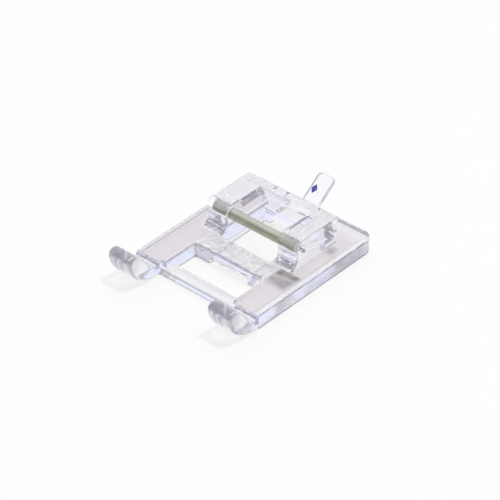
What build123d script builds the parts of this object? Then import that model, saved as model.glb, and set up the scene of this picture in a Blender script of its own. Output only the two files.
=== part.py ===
# Clear clip-on presser foot with a metal cross pin.
# Millimetres, +Z up, toes toward -Y, tab toward +Y, sole on z = 0, X = 0 is the centre line.

import math
import os

from build123d import *

# Sole plate
foot_width = 22.4
foot_length = 29.9
sole_thickness = 2.2
rear_corner_radius = 2.0
side_edge_radius = 0.3
heel_radius = 1.0

# Cross pin that the shank snaps onto
pin_diameter = 1.6
pin_height = 4.9
pin_to_rear = 12.0
snap_width = 9.2
pin_end_inset = 0.7
pin_end_chamfer = 0.2
bore_clearance = 0.03

# Lugs and rails
frame_width = 16.4
frame_height = 6.3
frame_rear_setback = 4.35
lug_nose = 1.05
lug_top_radius = 0.7
frame_corner_radius = 0.5
frame_edge_radius = 0.25
lug_edge_radius = 0.35
lug_root_radius = 1.6

# Rear latch window, with the lip that stands in from its walls
latch_front_gap = 2.0
latch_ledge = 0.2
rear_bar = 1.65
lip_reach = 0.75
lip_drop = 0.8
lip_side_height = 2.4
lip_behind_pin = 1.5
lip_rear_height = 1.3

# Needle window, the cross bar behind it and the bridge in front of it
needle_width = 12.2
needle_corner = 0.5
cross_bar = 3.75
window_edge_radius = 0.45
bridge_depth = 1.9
bridge_setback = 0.1
bridge_height = 1.2

# Stitch tunnel under the sole
tunnel_width = 7.0
tunnel_depth = 0.8

# Toes
toe_width = 4.3
toe_curl_radius = 5.0
toe_nose_height = 4.4
toe_nose_radius = 1.05
toe_edge_radius = 0.62
toe_slope = 48.0
valley_radius = 0.5
valley_floor = 1.45
arm_step = 0.55

# Tab
tab_centre = 3.0
tab_width = 2.8
tab_length = 6.0
tab_root = 1.2
tab_setback = 0.3
tab_thickness = 0.8
tab_lean = 37.0
tab_corner = 0.7
tab_edge_radius = 0.2

# Places that follow from the sizes
rear_y = foot_length / 2
front_y = -foot_length / 2
half_width = foot_width / 2
pin_y = rear_y - pin_to_rear
pin_radius = pin_diameter / 2
frame_rear_y = rear_y - frame_rear_setback
frame_half = frame_width / 2
lug_front_y = pin_y - lug_nose
snap_half = snap_width / 2
latch_front_y = pin_y - latch_front_gap
latch_rear_y = frame_rear_y - rear_bar + lip_reach
toe_outer = half_width
toe_inner = half_width - toe_width


def box(x0, x1, y0, y1, z0, z1):
    size = (x1 - x0, y1 - y0, z1 - z0)
    middle = ((x0 + x1) / 2, (y0 + y1) / 2, (z0 + z1) / 2)
    return Pos(*middle) * Box(*size)


def prism_y(points, y0, y1):
    # A closed outline of (x, z) points, drawn in the XZ plane and pushed along Y.
    outline = Polyline(*[(x, 0, z) for x, z in points], close=True)
    return Pos(0, y0, 0) * extrude(make_face(outline), amount=y1 - y0, dir=(0, 1, 0))


# Toe side view: flat sole, quarter-round curl, round nose, straight fall into a tight valley.
lean = math.radians(toe_slope)
nose_y = front_y + toe_nose_radius
nose_z = toe_nose_height
curl_rise = nose_z - toe_curl_radius
curl_arm = toe_curl_radius - toe_nose_radius
toe_start_y = nose_y + math.sqrt(curl_arm**2 - curl_rise**2)
curl_turn = math.atan2(toe_start_y - nose_y, -curl_rise)
fall_y = nose_y + toe_nose_radius * math.sin(lean)
fall_z = nose_z + toe_nose_radius * math.cos(lean)
valley_z = valley_floor + valley_radius
reach = valley_radius - math.cos(lean) * (valley_z - fall_z)
valley_y = fall_y + reach / math.sin(lean)
valley_in_y = valley_y - valley_radius * math.sin(lean)
valley_in_z = valley_z - valley_radius * math.cos(lean)
valley_out_y = valley_y + math.sqrt(valley_radius**2 - (sole_thickness - valley_z) ** 2)
arm_front_y = valley_out_y
arm_inner_front_y = arm_front_y + arm_step
bridge_front_y = arm_front_y + bridge_setback
bridge_rear_y = bridge_front_y + bridge_depth
needle_rear_y = latch_front_y - cross_bar
toe_root_y = arm_inner_front_y


def toe_profile():
    # A closed outline without a sharp corner; its round tail is buried in the arm.
    def at(y, z):
        return (0, y, z)

    def curl(turn):
        z = toe_curl_radius - toe_curl_radius * math.cos(turn)
        return at(toe_start_y - toe_curl_radius * math.sin(turn), z)

    nose_top = at(nose_y, nose_z + toe_nose_radius)
    middle = lean / 2
    valley_mid = at(valley_y - valley_radius * math.sin(middle), valley_z - valley_radius * math.cos(middle))
    tail_y = toe_root_y + toe_edge_radius
    half = valley_floor / 2
    edges = [
        Line(at(tail_y, 0), at(toe_start_y, 0)),
        ThreePointArc(at(toe_start_y, 0), curl(curl_turn / 2), curl(curl_turn)),
        ThreePointArc(curl(curl_turn), nose_top, at(fall_y, fall_z)),
        Line(at(fall_y, fall_z), at(valley_in_y, valley_in_z)),
        ThreePointArc(at(valley_in_y, valley_in_z), valley_mid, at(valley_y, valley_floor)),
        Line(at(valley_y, valley_floor), at(tail_y, valley_floor)),
        ThreePointArc(at(tail_y, valley_floor), at(tail_y + half, half), at(tail_y, 0)),
    ]
    return make_face(edges)


def make_toe():
    bar = Pos(toe_inner, 0, 0) * extrude(toe_profile(), amount=toe_width, dir=(1, 0, 0))
    bar = fillet(bar.faces().filter_by(Axis.X).edges(), toe_edge_radius)
    # The valley climbs to the arm in a tight hollow.
    cove = box(toe_inner, toe_outer, valley_y, arm_front_y, valley_floor, sole_thickness)
    scoop = Pos(0, valley_y, valley_z) * Rot(0, 90, 0) * Cylinder(valley_radius, 3 * foot_width)
    return bar + (cove - scoop)


def make_plate():
    depth = rear_y - arm_front_y
    plan = Rectangle(foot_width, depth)
    plan = fillet(plan.vertices().group_by(Axis.Y)[-1], rear_corner_radius)
    plate = Pos(0, arm_front_y + depth / 2, 0) * extrude(plan, amount=sole_thickness)
    # The heel edge is rounded underneath so that the foot also slides backward.
    r = heel_radius
    heel = box(-half_width - 1, half_width + 1, rear_y - r, rear_y + 1, -1, r)
    roll = Pos(0, rear_y - r, r) * Rot(0, 90, 0) * Cylinder(r, foot_width + 4)
    plate = plate - (heel - roll) - make_needle_window()
    rims = [e for e in plate.edges() if on_window_rim(e)]
    return fillet(rims, window_edge_radius)


def make_needle_window():
    # Open toward the toes; the low bridge closes it again later.
    open_y = arm_front_y - 5
    plan = Rectangle(needle_width, needle_rear_y - open_y)
    plan = fillet(plan.vertices().group_by(Axis.Y)[-1], needle_corner)
    through = Pos(0, (needle_rear_y + open_y) / 2, -1) * extrude(plan, amount=sole_thickness + 2)
    half = toe_inner
    return through + box(-half, half, open_y, arm_inner_front_y, -1, sole_thickness + 1)


def on_window_rim(edge):
    # Top edges of the needle window: its two sides, its rear and the corners between them.
    span = edge.bounding_box()
    inside = max(abs(span.min.X), abs(span.max.X)) < needle_width / 2 + 0.001
    return inside and span.min.Z > sole_thickness - 0.001 and span.max.Y < needle_rear_y + 0.001


def on_latch_rim(edge):
    # The top edge of the sole at the front of the latch window.
    middle = edge.center()
    at_front = abs(middle.Y - latch_front_y) < 0.001 and abs(middle.X) < 0.001
    return at_front and abs(middle.Z - sole_thickness) < 0.001


def make_side_edges():
    # What is taken off each top side edge, from the toe valley to the start of the rear corner.
    r = side_edge_radius
    end_y = rear_y - rear_corner_radius
    strip = box(half_width - r, half_width + 1, valley_y, end_y, sole_thickness - r, sole_thickness + 1)
    centre = (half_width - r, (valley_y + end_y) / 2, sole_thickness - r)
    roll = Pos(*centre) * Rot(90, 0, 0) * Cylinder(r, end_y - valley_y + 2)
    right = strip - roll
    return right + mirror(right, Plane.YZ)


def make_frame():
    block = box(-frame_half, frame_half, lug_front_y, frame_rear_y, 0.5, frame_height)
    block = fillet(block.edges().filter_by(Axis.Z).group_by(Axis.Y)[-1], frame_corner_radius)
    front_top = block.edges().filter_by(Axis.X).group_by(Axis.Z)[-1].sort_by(Axis.Y)[0]
    block = fillet(front_top, lug_top_radius)
    # Hollow between each lug and the sole in front of it.
    r = lug_root_radius
    root = box(-frame_half, frame_half, lug_front_y - r, lug_front_y, 0.5, sole_thickness + r)
    scoop = Pos(0, lug_front_y - r, sole_thickness + r) * Rot(0, 90, 0) * Cylinder(r, frame_width + 2)
    frame = block + (root - scoop)
    rims = [e for e in frame.edges() if on_rim(e, frame_half)]
    # Nothing of the frame stands in front of the opening between the lugs.
    front = box(-snap_half, snap_half, lug_front_y - r - 1, lug_front_y + 1, 0, frame_height + 1)
    frame = fillet(rims, frame_edge_radius) - make_latch_window(snap_half) - front
    rims = [e for e in frame.edges() if on_rim(e, snap_half) and e.center().Y < pin_y]
    return fillet(rims, lug_edge_radius)


def on_rim(edge, x):
    # Edges of the side face at x or -x that are seen from above or from the front.
    box_size = edge.bounding_box()
    on_side = abs(abs(edge.center().X) - x) < 0.001 and box_size.size.X < 0.001
    return on_side and box_size.min.Z > sole_thickness - 0.001


def make_latch_window(low_half):
    # The opening between the lugs runs through the sole; a lip narrows it behind the pin.
    opening = box(-snap_half, snap_half, latch_front_y, latch_rear_y, sole_thickness, frame_height + 1)
    opening = opening + box(-low_half, low_half, latch_front_y, latch_rear_y, -1, frame_height + 1)
    lip_front_y = pin_y + lip_behind_pin
    lip_in = snap_half - lip_reach
    lip_top = frame_height - lip_drop
    lip_low = lip_top - lip_side_height
    side = [
        (snap_half, frame_height),
        (lip_in, lip_top),
        (lip_in, lip_low),
        (snap_half, lip_low - lip_reach),
    ]
    lip = prism_y(side, lip_front_y, latch_rear_y)
    lip = lip + mirror(lip, Plane.YZ)
    low = frame_height - lip_rear_height
    back = box(-snap_half, snap_half, latch_rear_y - lip_reach, latch_rear_y, low, frame_height)
    return opening - lip - back


def make_tab():
    plan = Rectangle(tab_width, tab_length)
    plan = fillet(plan.vertices().group_by(Axis.Y)[-1], tab_corner)
    blade = Pos(0, tab_length / 2 - tab_root, 0) * extrude(plan, amount=tab_thickness)
    blade = fillet(blade.faces().filter_by(Axis.Z).edges(), tab_edge_radius)
    foot_y = frame_rear_y + tab_setback
    foot_z = frame_height - tab_thickness
    return Pos(tab_centre, foot_y, foot_z) * Rot(tab_lean, 0, 0) * blade


def make_bore():
    bore_radius = pin_radius + bore_clearance
    return Pos(0, pin_y, pin_height) * Rot(0, 90, 0) * Cylinder(bore_radius, frame_width + 2)


def make_foot():
    body = make_plate() - make_side_edges() - make_latch_window(snap_half - latch_ledge)
    front_rim = [e for e in body.edges() if on_latch_rim(e)]
    body = fillet(front_rim, window_edge_radius)
    body = body + make_frame() + make_tab()
    # The ends of the bridge are buried in the arms.
    half = max(toe_inner, needle_width / 2) + toe_edge_radius
    bridge = box(-half, half, bridge_front_y, bridge_rear_y, 0, bridge_height)
    toe = make_toe()
    body = body + bridge + toe + mirror(toe, Plane.YZ)
    tunnel_half = tunnel_width / 2
    tunnel = box(-tunnel_half, tunnel_half, needle_rear_y - 1, rear_y + 1, -1, tunnel_depth)
    return body - tunnel - make_bore()


def make_pin():
    length = frame_width - 2 * pin_end_inset
    pin = Rot(0, 90, 0) * Cylinder(pin_radius, length)
    pin = chamfer(pin.edges().filter_by(GeomType.CIRCLE), pin_end_chamfer)
    return Pos(0, pin_y, pin_height) * pin


os.makedirs("parts", exist_ok=True)
foot = make_foot()
pin = make_pin()
export_step(foot, "parts/moulded_foot.step")
export_step(pin, "parts/cross_pin.step")
for name, shape in (("moulded_foot", foot), ("cross_pin", pin)):
    size = shape.bounding_box().size
    print(name, len(shape.solids()), round(shape.volume, 2), [round(v, 2) for v in size])
print("arm front", round(arm_front_y, 2), "needle rear", round(needle_rear_y, 2))
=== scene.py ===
# %% [markdown]
# # A clear presser foot on a white table
#
# This file dresses a packed CAD model: one clear plastic moulding and the metal pin that lies
# through it. The shapes are already right, so the work here is finish and light. A clear thing
# has hardly a colour of its own. It is seen by what it bends and mirrors, so finish, floor and
# light are made to suit each other.

# %% Load the packed model
import math

import bmesh
import bpy
from mathutils import Matrix, Vector


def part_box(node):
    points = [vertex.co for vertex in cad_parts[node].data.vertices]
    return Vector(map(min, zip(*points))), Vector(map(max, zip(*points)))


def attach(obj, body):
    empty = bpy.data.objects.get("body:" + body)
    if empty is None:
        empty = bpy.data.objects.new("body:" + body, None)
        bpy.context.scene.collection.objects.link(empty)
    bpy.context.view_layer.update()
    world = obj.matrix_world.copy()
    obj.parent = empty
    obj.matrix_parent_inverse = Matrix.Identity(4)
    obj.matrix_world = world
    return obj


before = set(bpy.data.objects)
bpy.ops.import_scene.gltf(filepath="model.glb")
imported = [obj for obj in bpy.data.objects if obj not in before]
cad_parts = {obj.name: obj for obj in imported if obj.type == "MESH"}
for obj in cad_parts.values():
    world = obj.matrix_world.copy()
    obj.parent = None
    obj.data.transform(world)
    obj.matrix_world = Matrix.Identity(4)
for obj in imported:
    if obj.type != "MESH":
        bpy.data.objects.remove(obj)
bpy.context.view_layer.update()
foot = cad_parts["moulded_foot"]
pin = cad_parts["cross_pin"]
MM = 0.001
for name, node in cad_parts.items():
    print(name, "has", len(node.data.polygons), "faces")

# %% [markdown]
# ## Camera
#
# The view is a long lens from the front right, looking down by about 37 degrees. A long lens
# keeps the sides of the sole nearly parallel. The camera is placed by two angles and a distance
# from an aim point on the floor, which is easier to reason about than three rotations.

# %% Camera
AIM = Vector((-1.43, 3.19, 0.0)) * MM
AZIMUTH = math.radians(41.66)
ELEVATION = math.radians(36.62)
DISTANCE = 386.7 * MM
LENS = 201.6
SENSOR = 36.0

back = Vector((
    math.sin(AZIMUTH) * math.cos(ELEVATION),
    -math.cos(AZIMUTH) * math.cos(ELEVATION),
    math.sin(ELEVATION),
))
camera = bpy.data.objects.new("camera", bpy.data.cameras.new("camera"))
camera.data.lens = LENS
camera.data.sensor_width = SENSOR
camera.data.clip_start = 0.01
camera.data.clip_end = 20.0
camera.location = AIM + back * DISTANCE
camera.rotation_euler = (-back).to_track_quat("-Z", "Y").to_euler()
bpy.context.scene.collection.objects.link(camera)
bpy.context.scene.camera = camera
print("camera at", [round(v, 4) for v in camera.location])

# %% [markdown]
# ## A small language for shaders
#
# A finish is a sum of simple things: where a point is, a noise there, a ramp of that noise.
# Linking such nodes one by one hides the sum, so one small class wraps a socket and gives it
# Python's operators. Then `1 - rub * 0.5` adds the two Math nodes by itself. Every other node
# comes from `node`, which sets the node's own settings first and its sockets after.


# %% The socket class
class Wire:
    """A socket of a node tree that takes part in Python arithmetic."""

    def __init__(self, tree, socket=None):
        self.tree = tree
        self.socket = socket

    def node(self, kind, settings=None, inputs=None, output=0):
        made = self.tree.nodes.new(kind)
        for name, value in (settings or {}).items():
            setattr(made, name, value)
        for key, value in (inputs or {}).items():
            if isinstance(value, Wire):
                self.tree.links.new(value.socket, made.inputs[key])
            else:
                made.inputs[key].default_value = value
        return Wire(self.tree, made.outputs[output] if made.outputs else None)

    def math(self, operation, *values):
        return self.node("ShaderNodeMath", {"operation": operation}, dict(enumerate(values)))

    def __add__(self, other):
        return self.math("ADD", self, other)

    def __radd__(self, other):
        return self.math("ADD", other, self)

    def __sub__(self, other):
        return self.math("SUBTRACT", self, other)

    def __rsub__(self, other):
        return self.math("SUBTRACT", other, self)

    def __mul__(self, other):
        return self.math("MULTIPLY", self, other)

    def __rmul__(self, other):
        return self.math("MULTIPLY", other, self)

    def __abs__(self):
        return self.math("ABSOLUTE", self)

    def rise(self, low, high):
        """0 below low, 1 above high and a smooth rise between them."""
        inputs = {"Value": self, "From Min": low, "From Max": high}
        return self.node("ShaderNodeMapRange", {"interpolation_type": "SMOOTHSTEP"}, inputs)

    def within(self, low, high, soft):
        """1 between low and high and 0 outside them, with flanks of the given softness."""
        return self.rise(low, low + soft) * (1 - self.rise(high - soft, high))

    def blend(self, first, second):
        """A colour that goes from first to second as this value goes from 0 to 1."""
        inputs = {0: self, 6: first, 7: second}
        return self.node("ShaderNodeMix", {"data_type": "RGBA"}, inputs, output=2)

    def along(self, direction):
        """How far this vector reaches along a direction."""
        settings = {"operation": "DOT_PRODUCT"}
        inputs = {0: self, 1: direction}
        return self.node("ShaderNodeVectorMath", settings, inputs, output="Value")


print("a wire can", ", ".join(name for name in vars(Wire) if not name.startswith("_")))

# %% [markdown]
# ## Helpers for finishes
#
# Each finish asks the same questions: where is this point, which lump of noise is it in, how does
# a height tilt the light. The point is given in millimetres, because that is how the part is
# drawn.


# %% Helpers for finishes
def new_material(name):
    material = bpy.data.materials.new(name)
    material.use_nodes = True
    material.node_tree.nodes.clear()
    return material, Wire(material.node_tree)


def place(wire):
    """The point on the surface in millimetres, as one vector."""
    metres = wire.node("ShaderNodeTexCoord", output="Object")
    return wire.node("ShaderNodeVectorMath", {"operation": "SCALE"}, {0: metres, "Scale": 1 / MM})


def axes(point):
    """The same point as three wires: across, along and up."""
    return [point.node("ShaderNodeSeparateXYZ", None, {0: point}, output=i) for i in range(3)]


def noise(wire, point, scale, detail=2.0, stretch=(1, 1, 1)):
    """Soft noise from 0 to 1. The scale counts its lumps per millimetre."""
    stretched = wire.node("ShaderNodeVectorMath", {"operation": "MULTIPLY"}, {0: point, 1: stretch})
    inputs = {"Vector": stretched, "Scale": scale, "Detail": detail}
    return wire.node("ShaderNodeTexNoise", None, inputs)


def bumped(wire, height, millimetres):
    return wire.node("ShaderNodeBump", None, {"Height": height, "Distance": millimetres * MM})


def wear(node, material):
    node.data.materials.clear()
    node.data.materials.append(material)
    print(node.name, "wears", material.name, "with", len(material.node_tree.nodes), "nodes")


helpers = (new_material, place, axes, noise, bumped, wear)
print("helpers:", ", ".join(helper.__name__ for helper in helpers))

# %% [markdown]
# ## Where the plastic is not clear, and where shade is painted
#
# Most of the moulding is clear, but not all of it, and some places carry painted shade. The flats
# of the two arms are a little rougher and tinted darker and pink, as painted shade for the shaded
# table seen through them, with a painted dark line along their outer side where the bent edge shows
# a dark line. The bar behind the needle window has a fine grain, and the side walls are a little
# matt. The lower edges of the walls are rougher and painted dark as a contact shadow against the
# table. The curled toes are rougher and painted grey as shade that the curled plastic bends, and
# the thin edge of the tab is rougher and painted grey as the dark outline its edges show. The plate
# is painted dark in front of the right lug, as shade that the plate bends and mirrors there, and a
# fainter dark patch is painted farther back. Each such place is a mask from 0 to 1. It could be
# painted on the mesh, but a mask made from where a point is and which way it faces stays right when
# the mesh is built again. The ranges are in millimetres.

# %% Where the plastic is not clear, and painted shade
SOLE_TOP = 2.2
# The arm flats get painted shade: a darker, pink tint for the shaded table seen through them.
ARM_ACROSS = (6.0, 10.5)
ARM_FADE = (10.5, 14.0)
# A painted dark line along the outer side of each flat, where the bent edge shows a dark line.
LINE_ACROSS = (10.05, 10.45)
BAR_END = (5.9, 6.2)
BAR_REAR = (1.0, 1.4)
# Painted shade on the plate in front of the right lug, and a fainter dark patch farther back.
SHADE_PATCH_ACROSS = (6.1, 10.4)
SHADE_PATCH_FRONT = (-3.6, -2.0)
SHADE_PATCH_REAR = (0.4, 0.95)
SHADE_PATCH_DEEPENS = (-0.6, 0.4)
REAR_PATCH_ACROSS = (8.0, 10.0)
REAR_PATCH_ALONG = (6.9, 9.6)
SIDE_WALL = (11.0, 11.1)
# The lower edges of the walls are painted dark as a contact shadow against the table, and made
# rougher.
LOWER_EDGE = (0.10, 0.40)
# The curled toe tips are painted grey as shade that the curled plastic bends, and made rougher.
TOE_ALONG = (-13.8, -12.4)
TOE_HEIGHT = (2.0, 3.6)
# The thin edges of the tab are painted grey as the dark outline they show, and made rougher.
TAB_ALONG = (11.2, 11.6)
TAB_HEIGHT = (6.0, 6.4)
TAB_LEAN = math.radians(37.0)
TAB_FACING = (0.0, -math.sin(TAB_LEAN), math.cos(TAB_LEAN))


def find_places(wire, point):
    x, y, z = axes(point)
    across = abs(x)
    facing = wire.node("ShaderNodeTexCoord", output="Normal")
    up = facing.along((0, 0, 1))
    upright = 1 - abs(up).rise(0.5, 0.9)
    level = up.rise(0.90, 0.98) * z.within(SOLE_TOP - 0.05, SOLE_TOP + 0.05, 0.03)
    streak = noise(wire, point, 0.9, detail=3.0, stretch=(0.35, 1.0, 1.0)).rise(0.35, 0.65)
    grain = noise(wire, point, 1.7, detail=2.0, stretch=(0.7, 1.0, 1.0)).rise(0.38, 0.62)
    arm = level * (1 - y.rise(*ARM_FADE))
    bar = level * (1 - across.rise(*BAR_END)) * (1 - y.rise(*BAR_REAR))
    # painted shade in front of the right lug, where the plate bends and mirrors dark
    scuff = x.within(*SHADE_PATCH_ACROSS, 0.9) * y.rise(*SHADE_PATCH_FRONT) * (1 - y.rise(*SHADE_PATCH_REAR))
    rear_scuff = x.within(*REAR_PATCH_ACROSS, 0.8) * y.within(*REAR_PATCH_ALONG, 1.1)
    # the painted shade is streaked and grows darker toward the lug
    scuff_depth = 0.50 + streak * 0.50 + y.rise(*SHADE_PATCH_DEEPENS) * 0.25
    tab_edge = 1 - abs(facing.along(TAB_FACING)).rise(0.75, 0.95)
    return {
        # painted shade on the arm flats, plus a little roughness
        "flat": arm * across.within(*ARM_ACROSS, 0.4),
        # painted dark line along the outer side of the flats
        "line": arm * across.within(*LINE_ACROSS, 0.15),
        "bar": bar * grain,
        # painted shade in front of the right lug, and a fainter dark patch farther back
        "scuff": level * (scuff + rear_scuff * 0.6) * scuff_depth,
        "side": upright * across.rise(*SIDE_WALL),
        # painted contact shadow on the lower edges of the walls, plus roughness
        "edge": upright * (1 - z.rise(*LOWER_EDGE)),
        # painted grey shade on the curled toe tips, plus roughness
        "toe": (1 - y.rise(*TOE_ALONG)) * z.rise(*TOE_HEIGHT),
        # painted grey outline on the thin edges of the tab, plus roughness
        "tab": y.rise(*TAB_ALONG) * z.rise(*TAB_HEIGHT) * tab_edge,
    }


print("arm flats from", ARM_ACROSS[0], "to", ARM_ACROSS[1], "mm")

# %% [markdown]
# ## Clear plastic
#
# The foot is moulded in clear acrylic. A polished tool leaves it nearly optical, but not perfect:
# the faces carry a faint flow ripple, and the sole is rubbed dull where cloth slides under it.
# The Principled shader with full transmission bends the light. A glass shader would bend it as
# well, but this one is also the shader that an exported model keeps. It takes the tint and
# roughness of each place found above. The refractive index and the absorption are the same
# everywhere: plain numbers on their sockets. The heights are in millimetres, and the grain of the
# bar is given as a multiple of the ripple.

# %% Clear plastic
PLASTIC_IOR = 1.49
PLASTIC_TINT = (0.985, 0.980, 0.988, 1.0)
PLASTIC_TINT_DEEP = (0.966, 0.959, 0.973, 1.0)
DEPTH_COLOUR = (0.82, 0.79, 0.84, 1.0)
DEPTH_DENSITY = 30.0
RIPPLE_HEIGHT = 0.006
GRAIN_TO_RIPPLE = 8.0
CLEAR_ROUGHNESS = 0.012
CLOUD_ROUGHNESS = 0.02
RUB_ROUGHNESS = 0.10
PLACE_FINISH_AND_SHADE = {
    # arm flats: painted shade, darker and pink, and a little rougher
    "flat": ((0.77, 0.68, 0.71, 1.0), 0.15),
    # outer line: painted shade, dark grey
    "line": ((0.60, 0.57, 0.58, 1.0), 0.0),
    "bar": ((0.70, 0.68, 0.72, 1.0), 0.06),
    # plate patch: painted shade, nearly black
    "scuff": ((0.07, 0.065, 0.068, 1.0), 0.06),
    "side": ((0.97, 0.965, 0.98, 1.0), 0.24),
    # lower edges: painted contact shadow, dark grey, and rougher
    "edge": ((0.42, 0.42, 0.44, 1.0), 0.30),
    # toe tips: painted grey shade, and rougher
    "toe": ((0.73, 0.73, 0.77, 1.0), 0.20),
    # tab edges: painted grey outline, and rougher
    "tab": ((0.70, 0.70, 0.73, 1.0), 0.30),
}


def make_clear_plastic():
    material, wire = new_material("clear_plastic")
    point = place(wire)
    places = find_places(wire, point)
    cloud = noise(wire, point, 0.16, detail=3.0)
    rub = noise(wire, point, 2.6, detail=4.0, stretch=(1.0, 0.08, 1.0))
    sole = 1 - point.along((0, 0, 1)).rise(0.02, 0.12)
    height = noise(wire, point, 0.42) + places["bar"] * GRAIN_TO_RIPPLE
    colour = cloud.rise(0.35, 0.75).blend(PLASTIC_TINT, PLASTIC_TINT_DEEP)
    dull = CLEAR_ROUGHNESS + cloud.rise(0.45, 0.75) * CLOUD_ROUGHNESS
    dull = dull + sole * rub.rise(0.5, 0.8) * RUB_ROUGHNESS
    # Several of these tints are painted shade, as the places above say.
    for name, (tint, roughness) in PLACE_FINISH_AND_SHADE.items():
        colour = places[name].blend(colour, tint)
        dull = dull + places[name] * roughness
    inputs = {
        "Base Color": colour,
        "Roughness": dull,
        "IOR": PLASTIC_IOR,
        "Transmission Weight": 1.0,
        "Normal": bumped(wire, height, RIPPLE_HEIGHT),
    }
    surface = wire.node("ShaderNodeBsdfPrincipled", None, inputs)
    inputs = {"Color": DEPTH_COLOUR, "Density": DEPTH_DENSITY}
    depth = wire.node("ShaderNodeVolumeAbsorption", None, inputs)
    wire.node("ShaderNodeOutputMaterial", None, {"Surface": surface, "Volume": depth})
    return material


wear(foot, make_clear_plastic())

# %% [markdown]
# ## Pin metal
#
# The pin is drawn steel, browned by handling, with fine rings left by grinding. A wave texture
# would draw even rings. Grinding leaves uneven ones, so a noise is stretched: long round the
# axis, short along it. The chamfered ends of the pin stay a little brighter.

# %% Pin metal
PIN_BROWN = (0.59, 0.58, 0.455, 1.0)
PIN_BARE = (0.68, 0.67, 0.57, 1.0)
PIN_ROUGHNESS = 0.44
RING_HEIGHT = 0.001
PIN_HALF = max(abs(v[0]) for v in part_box("cross_pin")) / MM
PIN_END = (PIN_HALF - 0.25, PIN_HALF - 0.15)


def make_pin_metal():
    material, wire = new_material("pin_metal")
    point = place(wire)
    rings = noise(wire, point, 9.0, detail=3.0, stretch=(1.0, 0.03, 0.03))
    stain = noise(wire, point, 0.9, detail=3.0)
    end = abs(point.along((1, 0, 0))).rise(*PIN_END)
    bright = end.math("MAXIMUM", end, stain.rise(0.42, 0.72) * 0.55)
    inputs = {
        "Base Color": bright.blend(PIN_BROWN, PIN_BARE),
        "Metallic": 1.0,
        "Roughness": PIN_ROUGHNESS + rings * 0.10 - bright * 0.06,
        "Normal": bumped(wire, rings, RING_HEIGHT),
    }
    surface = wire.node("ShaderNodeBsdfPrincipled", None, inputs)
    wire.node("ShaderNodeOutputMaterial", None, {"Surface": surface})
    return material


wear(pin, make_pin_metal())

# %% [markdown]
# ## Print on the tab
#
# The tab carries a small blue mark so that the foot can be picked out of a tray. It is a plain
# diamond. A print has next to no thickness. It could be one more mask in the plastic, but a thin
# plate of its own on the slanted face of the tab has a real edge, which stays crisp at any
# distance. The plate is drawn flat and then moved onto the face by one matrix: the same lean and
# the same place that the tab has.

# %% Print on the tab
TAB_ROOT = Vector((3.0, 10.9, 5.5)) * MM
PRINT_PLACE = Vector((-0.55, 2.2, 0.805)) * MM
PRINT_HALF_WIDTH = 0.50 * MM
PRINT_HALF_LENGTH = 0.75 * MM
PRINT_CORNER = 0.18 * MM
PRINT_THICKNESS = 0.02 * MM


def diamond(half_width, half_length, corner, steps=6):
    """The outline of a diamond whose four corners are rounded."""
    right = Vector((half_width, 0))
    top = Vector((0, half_length))
    tips = [right, top, -right, -top]
    outline = []
    for i, tip in enumerate(tips):
        into = tip + (tips[i - 1] - tip).normalized() * corner
        out = tip + (tips[(i + 1) % 4] - tip).normalized() * corner
        for k in range(steps + 1):
            t = k / steps
            outline.append(into * (1 - t) ** 2 + tip * 2 * t * (1 - t) + out * t**2)
    return outline


def make_print():
    mesh = bmesh.new()
    outline = diamond(PRINT_HALF_WIDTH, PRINT_HALF_LENGTH, PRINT_CORNER)
    face = mesh.faces.new([mesh.verts.new((p.x, p.y, 0.0)) for p in outline])
    raised = bmesh.ops.extrude_face_region(mesh, geom=[face])["geom"]
    top = [v for v in raised if isinstance(v, bmesh.types.BMVert)]
    bmesh.ops.translate(mesh, verts=top, vec=(0, 0, PRINT_THICKNESS))
    bmesh.ops.recalc_face_normals(mesh, faces=mesh.faces)
    data = bpy.data.meshes.new("tab_print")
    mesh.to_mesh(data)
    mesh.free()
    onto_tab = Matrix.Translation(TAB_ROOT) @ Matrix.Rotation(TAB_LEAN, 4, "X")
    data.transform(onto_tab @ Matrix.Translation(PRINT_PLACE))
    piece = bpy.data.objects.new("tab_print", data)
    bpy.context.scene.collection.objects.link(piece)
    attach(piece, "root")
    return piece


tab_print = make_print()
print("print has", len(tab_print.data.vertices), "points")

# %% [markdown]
# ## Ink
#
# The ink is a dry, slightly worn blue. One colour all over would look like a sticker. Printed ink
# wears off in specks, so one fine noise drives colour, roughness and height: it is paler and
# rougher in the same spots.

# %% Ink
INK_BLUE = (0.070, 0.068, 0.46, 1.0)
INK_WORN = (0.20, 0.20, 0.64, 1.0)
INK_HEIGHT = 0.002


def make_ink():
    material, wire = new_material("print_ink")
    worn = noise(wire, place(wire), 5.2, detail=3.0).rise(0.5, 0.75)
    inputs = {
        "Base Color": worn.blend(INK_BLUE, INK_WORN),
        "Roughness": 0.35 + worn * 0.2,
        "Normal": bumped(wire, worn, INK_HEIGHT),
    }
    surface = wire.node("ShaderNodeBsdfPrincipled", None, inputs)
    wire.node("ShaderNodeOutputMaterial", None, {"Surface": surface})
    return material


wear(tab_print, make_ink())

# %% [markdown]
# ## Table
#
# The table is a wide white sheet. It lies a hair below the sole: two faces in one plane would
# fight over every ray. It has a faint paper grain, so that the shadow does not look printed. The
# sheet is partly its own light for the rays that look at it: the camera's own, and those that
# metal and plastic send on. That keeps it white without more light on the part. The other share
# keeps the shadow.

# %% Table
FLOOR_DROP = 0.03 * MM
FLOOR_HALF = 3.0
FLOOR_WHITE = (0.98, 0.98, 0.98, 1.0)
FLOOR_GRAIN = (0.965, 0.965, 0.967, 1.0)
FLOOR_OWN_LIGHT = (0.99, 0.993, 1.0, 1.0)
FLOOR_GLOW = 0.70


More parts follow.
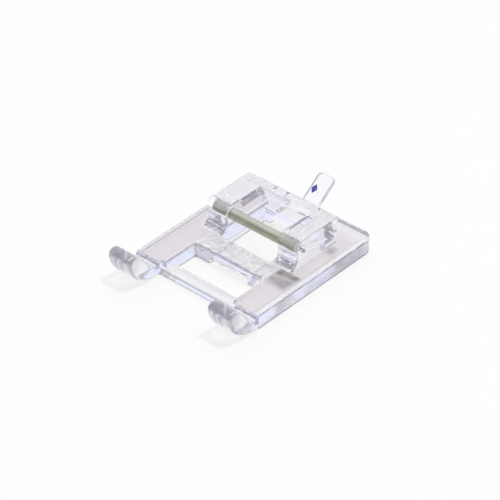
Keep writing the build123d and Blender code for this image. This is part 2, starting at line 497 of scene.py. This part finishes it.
def make_table():
    data = bpy.data.meshes.new("table")
    turns = ((-1, -1), (1, -1), (1, 1), (-1, 1))
    corners = [(across * FLOOR_HALF, along * FLOOR_HALF, -FLOOR_DROP) for across, along in turns]
    data.from_pydata(corners, [], [(0, 1, 2, 3)])
    table = bpy.data.objects.new("table", data)
    bpy.context.scene.collection.objects.link(table)
    return table


def make_paper():
    material, wire = new_material("table_white")
    colour = noise(wire, place(wire), 3.0).blend(FLOOR_WHITE, FLOOR_GRAIN)
    inputs = {"Base Color": colour, "Roughness": 0.9, "Specular IOR Level": 0.0}
    paper = wire.node("ShaderNodeBsdfPrincipled", None, inputs)
    glow = wire.node("ShaderNodeEmission", None, {"Color": FLOOR_OWN_LIGHT, "Strength": 1.0})
    kinds = ("Is Camera Ray", "Is Glossy Ray", "Is Transmission Ray")
    seen, mirrored, passed = [wire.node("ShaderNodeLightPath", output=kind) for kind in kinds]
    looked_at = seen.math("MINIMUM", seen + mirrored + passed, 1.0)
    surface = wire.node("ShaderNodeMixShader", None, {0: looked_at * FLOOR_GLOW, 1: paper, 2: glow})
    wire.node("ShaderNodeOutputMaterial", None, {"Surface": surface})
    return material


wear(make_table(), make_paper())

# %% [markdown]
# ## Light
#
# A clear part needs contrast around it more than light on it. An even white sky would wash its
# edges out. A small lamp hangs almost overhead, a little behind the part and to its right, and
# draws the shadow. The rest of the light is a sky that is bright above and behind the part and
# darker toward the viewer, so that the bent edges of the plastic pick up dark lines. The sky is a
# little blue and the lamp a little warm. Together they are white, and the shadow is bluish. Light
# is mirrored many times inside clear plastic before it gets out. With too few bounces those
# places would go black, so the scene allows more of them.

# %% Light
KEY_FROM = Vector((0.13, 0.12, 0.70))
KEY_SIZE = 0.09
KEY_POWER = 2.0
KEY_COLOUR = (1.0, 0.92, 0.63)
SKY_TOP = (0.86, 0.90, 1.08, 1.0)
SKY_EDGE = (0.25, 0.25, 0.265, 1.0)
SKY_LEAN = (-0.35, 0.40, 0.85)
SKY_RISE = (0.2, 0.8)
SKY_STRENGTH = 1.02


def make_lamp():
    lamp = bpy.data.lights.new("soft_lamp", "AREA")
    lamp.shape = "SQUARE"
    lamp.size = KEY_SIZE
    lamp.energy = KEY_POWER
    lamp.color = KEY_COLOUR
    piece = bpy.data.objects.new("soft_lamp", lamp)
    piece.location = KEY_FROM
    piece.rotation_euler = (-KEY_FROM).to_track_quat("-Z", "Y").to_euler()
    bpy.context.scene.collection.objects.link(piece)


def make_sky():
    world = bpy.data.worlds.new("sky")
    world.use_nodes = True
    world.node_tree.nodes.clear()
    wire = Wire(world.node_tree)
    aim = wire.node("ShaderNodeTexCoord", output="Generated")
    colour = aim.along(SKY_LEAN).rise(*SKY_RISE).blend(SKY_EDGE, SKY_TOP)
    sky = wire.node("ShaderNodeBackground", None, {"Color": colour, "Strength": SKY_STRENGTH})
    wire.node("ShaderNodeOutputWorld", None, {"Surface": sky})
    bpy.context.scene.world = world


make_lamp()
make_sky()
bpy.context.scene.view_settings.view_transform = "Standard"
bpy.context.scene.cycles.max_bounces = 32
bpy.context.scene.cycles.glossy_bounces = 24
bpy.context.scene.cycles.transmission_bounces = 32
print("lamp", KEY_POWER, "W, sky", SKY_STRENGTH)
